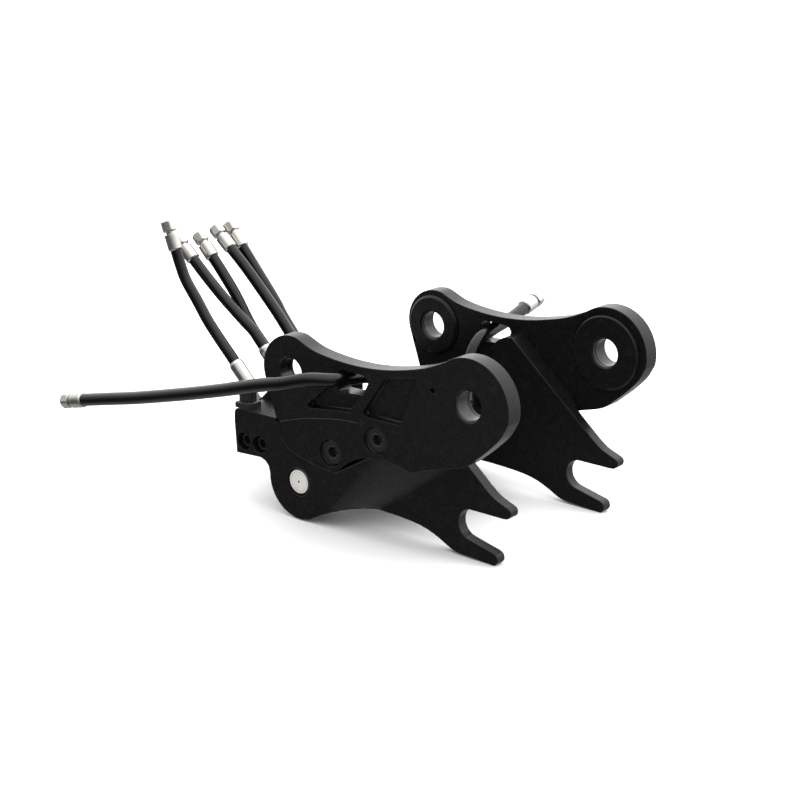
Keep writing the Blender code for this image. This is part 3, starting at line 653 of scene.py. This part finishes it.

# ======== lock pins ========
# Two hardened 45 mm pins end flush with the lobes in bright faces with a wide chamfer. All of each pin but
# its end face, the chamfer too, is coloured near black as painted shade round the face. The lathe leaves a
# centre mark. The cylinder between them pushes both outwards by the same travel.
STEEL = finish_material("pin_steel", (0.74, 0.72, 0.68), (0.60, 0.58, 0.54), roughness=0.3, spread=0.15,
                        metallic=0.25, grain=600.0, bump=0.00004, wear=(0.5, 0.8))
# Painted shade: the pin's colour is near black wherever the object's |y| falls short of the lobe's outer
# face, so only the end face keeps the steel colour.
nodes, links = STEEL.node_tree.nodes, STEEL.node_tree.links
across = nodes.new("ShaderNodeSeparateXYZ")
links.new(nodes["Texture Coordinate"].outputs["Object"], across.inputs["Vector"])
reach = nodes.new("ShaderNodeMath")
reach.operation = "ABSOLUTE"
links.new(across.outputs["Y"], reach.inputs[0])
face = map_range(nodes, (HALF_WIDTH - 0.55) * MM, (HALF_WIDTH - 0.35) * MM)
links.new(reach.outputs["Value"], face.inputs["Value"])
pin_painted_shade = nodes.new("ShaderNodeMix")
pin_painted_shade.data_type = "RGBA"
pin_painted_shade.inputs["A"].default_value = (0.035, 0.034, 0.032, 1.0)
links.new(face.outputs["Result"], pin_painted_shade.inputs["Factor"])
links.new(nodes["Color Ramp"].outputs["Color"], pin_painted_shade.inputs["B"])
links.new(pin_painted_shade.outputs["Result"], nodes["Principled BSDF"].inputs["Base Color"])
BRONZE = finish_material("bush_bronze", (0.42, 0.27, 0.12), (0.25, 0.15, 0.07), roughness=0.3, spread=0.15,
                         metallic=1.0, grain=500.0, bump=0.00005)
for side, word in SIDES:
    pin = [(2.4, 0), (0, 2.0), (0, 15.3), (0.5, 15.7), (0, 16.1), (0, 18.5), (3.6, 22.5), (100, 22.5),
           (102, 20.5), (102, 11.0), (92, 11.0), (92, 0)]
    turned(f"pin_{word}", (LOCK[0], side * (HALF_WIDTH - 0.2), LOCK[1]), (0, -side, 0), pin, STEEL,
           f"lock_{word}", [f"lock_pin_{word}"], sides=112)
    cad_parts[f"lock_bush_{word}"].data.materials[0] = BRONZE
    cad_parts[f"piston_rod_{word}"].data.materials[0] = STEEL
    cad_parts[f"cylinder_head_{word}"].data.materials[0] = ZINC
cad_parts["cylinder_barrel"].data.materials[0] = ZINC

# ======== screws ========
# Two M24 countersunk screws hold each ear and two M16 cap screws the port block, all with hexagon sockets,
# black from the oxide bath and a little oily.
OXIDE = finish_material("black_oxide", (0.011, 0.011, 0.012), (0.030, 0.029, 0.028), roughness=0.24,
                        spread=0.16, metallic=0.0, grain=800.0, bump=0.00006)


def socket(flats, depth, widest):
    """Down to a depth, a turned radius under the widest is held inside a hexagon."""
    def shape(angle, along, radius):
        held = (along <= depth) & (radius < widest)
        return np.where(held, np.minimum(radius, hexagon_wall(flats, angle)), radius)
    return shape


countersunk = [(10, 0), (10, 9.3), (1.3, 9.3), (0, 10.6), (0, 18.9), (1.3, 20.2), (9.5, 12.0), (56.3, 12.0),
               (56.3, 0)]
cap = [(9, 0), (9, 8.0), (0.7, 8.0), (0, 8.8), (0, 10.8), (1.2, 12.0), (16, 12.0), (16, 8.0), (74, 8.0),
       (74, 0)]
for side, word in SIDES:
    for number, (x, z) in enumerate(EAR_SCREWS, 1):
        turned(f"ear_bolt_{number}_{word}", (x, side * (HALF_WIDTH - 5.5), z), (0, -side, 0), countersunk,
               OXIDE, "coupler", [f"ear_screw_{number}_{word}"], sides=72,
               outline=socket(16.0, 10.1, 9.9), soften=0.35)
for number, (x, z) in enumerate(TAB_SCREWS, 1):
    turned(f"tab_bolt_{number}", (x, -HALF_WIDTH + 8.6, z), (0, 1, 0), cap, OXIDE,
           "coupler", [f"tab_screw_{number}"], sides=72, outline=socket(14.0, 9.1, 8.4), soften=0.35)

# ======== port block, check valve and lock housing ========
# A machined block behind the tab carries the five ports on its sloping face. A valve stands on the tab with a
# square foot. The welded housing across the middle holds the cylinder and the shelf for the side hoses.
BLOCK = np.array([(-147, -147), (-147, -106.6), (-104.4, -64), (-61, -64), (-61, -147)], float)
BLOCK_LEFT, BLOCK_RIGHT = -129.9, 52.0


def flat_face(y):
    """A level outer face at that y."""
    return lambda x, z: np.full(len(x), y)


make_plate("port_block", 1, even(rounded(BLOCK, 2.0, closed=True), 12.0), [], [], [], flat_face(BLOCK_RIGHT),
           BLOCK_LEFT, 1.2, 30.0, ["manifold_block"])
FOOT = 30.0


def square_foot(angle, along, radius):
    """Up to the foot's top the radius is held inside a square."""
    wall = FOOT / 2 / np.maximum(np.abs(np.cos(angle)), np.abs(np.sin(angle)))
    return np.where(along <= 8.2, np.minimum(radius, wall), radius)


valve = [(0, 0), (0, 20.4), (8, 20.4), (8.3, 14.6), (9.5, 13.8), (32, 13.8), (34, 12.0), (34, 0)]
turned("relief_valve", (-104.0, -177.5, -79.3), (0, 0, 1), valve, OXIDE, "coupler",
       ["check_valve"], sides=96, outline=square_foot, soften=0.8)
HOUSING_R, CORNER_R = 50.0, 12.0
HOUSING_Y = FRAME_IN - GAP
left, right = LOCK[0] - HOUSING_R, LOCK[0] + HOUSING_R
HOUSING = np.vstack([arc(LOCK, HOUSING_R, 180, 360, 48),
                     [(right, DECK_Z - 12), (190, DECK_Z - 12), (190, DECK_Z - 4), (186, DECK_Z),
                      (right, DECK_Z)],
                     arc((right - CORNER_R, -104), CORNER_R, 0, 90, 8),
                     arc((left + CORNER_R, -104), CORNER_R, 90, 180, 8)])
make_plate("lock_housing", 1, even(HOUSING, 10.0), [(circle(LOCK, 39.3, 72), 0.0)], [], [],
           flat_face(HOUSING_Y), -HOUSING_Y, 0.8, 30.0, ["cross_housing"])
for number in (1, 2):
    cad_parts[f"feed_pipe_{number}"].data.materials[0] = ZINC

# ======== studio ========
# A plain pale floor under soft light. The surround is bright above and behind, pale below, and dim in front,
# so that black faces turned to the front stay deep and the edges turned up or down catch the light. The floor
# is left out of reflections for the same reason.
floor_material = finish_material("pale_floor", (0.90, 0.90, 0.90), (0.88, 0.88, 0.88), roughness=0.6,
                                 spread=0.1, metallic=0.0, grain=60.0, bump=0.0)
FLOOR = 30.0                        # metres from the middle to each side
floor_mesh = bpy.data.meshes.new("floor")
floor_mesh.from_pydata([(-FLOOR, -FLOOR, 0), (FLOOR, -FLOOR, 0), (FLOOR, FLOOR, 0), (-FLOOR, FLOOR, 0)], [],
                       [(0, 1, 2, 3)])
floor_mesh.materials.append(floor_material)
floor = bpy.data.objects.new("floor", floor_mesh)
floor.visible_glossy = False
bpy.context.collection.objects.link(floor)
world = bpy.data.worlds.new("studio")
bpy.context.scene.world = world
world.use_nodes = True
nodes, links = world.node_tree.nodes, world.node_tree.links
towards = nodes.new("ShaderNodeVectorMath")
towards.operation = "DOT_PRODUCT"
towards.inputs[1].default_value = (0.0, 0.45, 0.89)     # up and a little behind
direction = nodes.new("ShaderNodeNewGeometry").outputs["Position"]
links.new(direction, towards.inputs[0])
glow = map_range(nodes, -0.5, 1.2, 0.13, 3.0, "SMOOTHSTEP")
links.new(towards.outputs["Value"], glow.inputs["Value"])
height = nodes.new("ShaderNodeSeparateXYZ")
links.new(direction, height.inputs["Vector"])
ground = map_range(nodes, -0.45, -0.85, 0.0, 0.45, "SMOOTHSTEP")
links.new(height.outputs["Z"], ground.inputs["Value"])
both = nodes.new("ShaderNodeMath")
links.new(glow.outputs["Result"], both.inputs[0])
links.new(ground.outputs["Result"], both.inputs[1])
links.new(both.outputs["Value"], nodes["Background"].inputs["Strength"])
nodes["Background"].inputs["Color"].default_value = (1.0, 1.0, 1.0, 1.0)
bpy.context.scene.view_settings.view_transform = "Standard"
